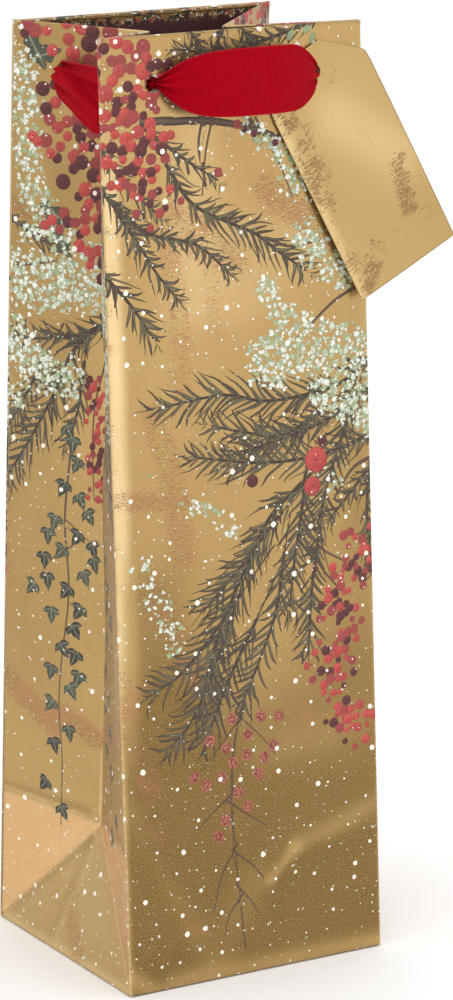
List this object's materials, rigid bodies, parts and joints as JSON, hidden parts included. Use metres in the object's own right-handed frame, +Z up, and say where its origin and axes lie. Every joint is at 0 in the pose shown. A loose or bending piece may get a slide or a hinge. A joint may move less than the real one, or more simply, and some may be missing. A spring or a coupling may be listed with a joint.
{
  "type": "wine gift bag",
  "caption": "Tall gusseted foil-paper bag for one bottle, with a threaded ribbon for handles and a hanging tag.",
  "frame": {"origin": "middle of the bag's underside, on the surface it stands on", "axes": "+Z up the bag, -Y out of the front panel, +X to the right seen from the front"},
  "size_m": [0.1494, 0.106, 0.3594],
  "materials": {
    "printed_foil_paper": "satin gold foil laminate with a printed winter pattern",
    "card": "raw grey-brown card",
    "ribbon": "ribbed grosgrain weave",
    "tag_card": "satin gold foil card with a worn print"
  },
  "bodies": {
    "bottom": {"bottom_front_flap": "printed_foil_paper", "bottom_back_flap": "printed_foil_paper", "bottom_left_tuck": "printed_foil_paper", "bottom_right_tuck": "printed_foil_paper", "base_board": "card"},
    "front": {"front_panel": "printed_foil_paper", "front_stiffener": "card", "front_hem": "printed_foil_paper", "left_ribbon": "ribbon", "right_ribbon": "ribbon"},
    "back": {"back_panel": "printed_foil_paper", "back_stiffener": "card", "back_hem": "printed_foil_paper", "seam_tab": "printed_foil_paper"},
    "front_handle": {"front_handle": "ribbon"},
    "back_handle": {"back_handle": "ribbon"},
    "gift_tag": {"gift_tag": "tag_card"},
    "left_foot_triangle": {"left_foot_triangle": "printed_foil_paper"},
    "left_front_facet": {"left_front_facet": "printed_foil_paper"},
    "left_rear_facet": {"left_rear_facet": "printed_foil_paper", "left_rear_foot": "printed_foil_paper"},
    "left_front_leaf": {"left_front_leaf": "printed_foil_paper", "left_front_hem": "printed_foil_paper"},
    "left_rear_leaf": {"left_rear_leaf": "printed_foil_paper", "left_rear_hem": "printed_foil_paper"},
    "right_foot_triangle": {"right_foot_triangle": "printed_foil_paper"},
    "right_front_facet": {"right_front_facet": "printed_foil_paper"},
    "right_rear_facet": {"right_rear_facet": "printed_foil_paper", "right_rear_foot": "printed_foil_paper"},
    "right_front_leaf": {"right_front_leaf": "printed_foil_paper", "right_front_hem": "printed_foil_paper"},
    "right_rear_leaf": {"right_rear_leaf": "printed_foil_paper", "right_rear_hem": "printed_foil_paper"}
  },
  "joints": [
    {"name": "front_panel_fold", "type": "hinge", "parent": "bottom", "child": "front", "pos_m": [0, -0.053, 0], "axis": [-1, 0, 0], "range_deg": [-0.95, 2.87], "deforming": ["left_ribbon", "right_ribbon"]},
    {"name": "back_panel_fold", "type": "hinge", "parent": "bottom", "child": "back", "pos_m": [0, 0.053, 0], "axis": [1, 0, 0], "range_deg": [-0.95, 2.87]},
    {"name": "left_foot_triangle_fold", "type": "hinge", "parent": "bottom", "child": "left_foot_triangle", "pos_m": [-0.056, 0, 0], "axis": [0, 1, 0], "range_deg": [-2.36, 7.02]},
    {"name": "left_front_corner_fold", "type": "hinge", "parent": "front", "child": "left_front_facet", "pos_m": [-0.056, -0.053, 0], "axis": [0, -0.0556, -0.9985], "range_deg": [-2.36, 7.02]},
    {"name": "left_front_leaf_bend", "type": "hinge", "parent": "left_front_facet", "child": "left_front_leaf", "pos_m": [-0.0388, 0, 0.05013], "axis": [0.0552, 0.1059, -0.9928], "range_deg": [-4.99, 14.97]},
    {"name": "left_rear_corner_fold", "type": "hinge", "parent": "back", "child": "left_rear_facet", "pos_m": [-0.056, 0.053, 0], "axis": [0, -0.0556, 0.9985], "range_deg": [-2.36, 7.02]},
    {"name": "left_rear_leaf_bend", "type": "hinge", "parent": "left_rear_facet", "child": "left_rear_leaf", "pos_m": [-0.0388, 0, 0.05013], "axis": [-0.0552, 0.1059, 0.9928], "range_deg": [-4.99, 14.97]},
    {"name": "right_foot_triangle_fold", "type": "hinge", "parent": "bottom", "child": "right_foot_triangle", "pos_m": [0.056, 0, 0], "axis": [0, -1, 0], "range_deg": [-2.36, 7.02]},
    {"name": "right_front_corner_fold", "type": "hinge", "parent": "front", "child": "right_front_facet", "pos_m": [0.056, -0.053, 0], "axis": [0, 0.0556, 0.9985], "range_deg": [-2.36, 7.02]},
    {"name": "right_front_leaf_bend", "type": "hinge", "parent": "right_front_facet", "child": "right_front_leaf", "pos_m": [0.0388, 0, 0.05013], "axis": [0.0552, -0.1059, 0.9928], "range_deg": [-4.99, 14.97]},
    {"name": "right_rear_corner_fold", "type": "hinge", "parent": "back", "child": "right_rear_facet", "pos_m": [0.056, 0.053, 0], "axis": [0, 0.0556, -0.9985], "range_deg": [-2.36, 7.02]},
    {"name": "right_rear_leaf_bend", "type": "hinge", "parent": "right_rear_facet", "child": "right_rear_leaf", "pos_m": [0.0388, 0, 0.05013], "axis": [-0.0552, -0.1059, -0.9928], "range_deg": [-4.99, 14.97]},
    {"name": "front_handle_swing", "type": "hinge", "parent": "front", "child": "front_handle", "pos_m": [0, -0.03648, 0.34191], "axis": [-1, 0, 0], "range_deg": [-18, 26]},
    {"name": "back_handle_swing", "type": "hinge", "parent": "back", "child": "back_handle", "pos_m": [0, 0.03648, 0.34191], "axis": [1, 0, 0], "range_deg": [-18, 26]},
    {"name": "tag_swing", "type": "hinge", "parent": "front", "child": "gift_tag", "pos_m": [0.034, -0.03478, 0.34182], "axis": [0, -0.9985, 0.0556], "range_deg": [-71.7, 50]}
  ],
  "couplings": [
    {"joint": "back_panel_fold", "follows": "front_panel_fold", "ratio": 1},
    {"joint": "left_foot_triangle_fold", "follows": "front_panel_fold", "ratio": 2.428},
    {"joint": "left_front_corner_fold", "follows": "front_panel_fold", "ratio": 2.428},
    {"joint": "left_front_leaf_bend", "follows": "front_panel_fold", "ratio": 5.2},
    {"joint": "left_rear_corner_fold", "follows": "front_panel_fold", "ratio": 2.428},
    {"joint": "left_rear_leaf_bend", "follows": "front_panel_fold", "ratio": 5.2},
    {"joint": "right_foot_triangle_fold", "follows": "front_panel_fold", "ratio": 2.428},
    {"joint": "right_front_corner_fold", "follows": "front_panel_fold", "ratio": 2.428},
    {"joint": "right_front_leaf_bend", "follows": "front_panel_fold", "ratio": 5.2},
    {"joint": "right_rear_corner_fold", "follows": "front_panel_fold", "ratio": 2.428},
    {"joint": "right_rear_leaf_bend", "follows": "front_panel_fold", "ratio": 5.2}
  ]
}
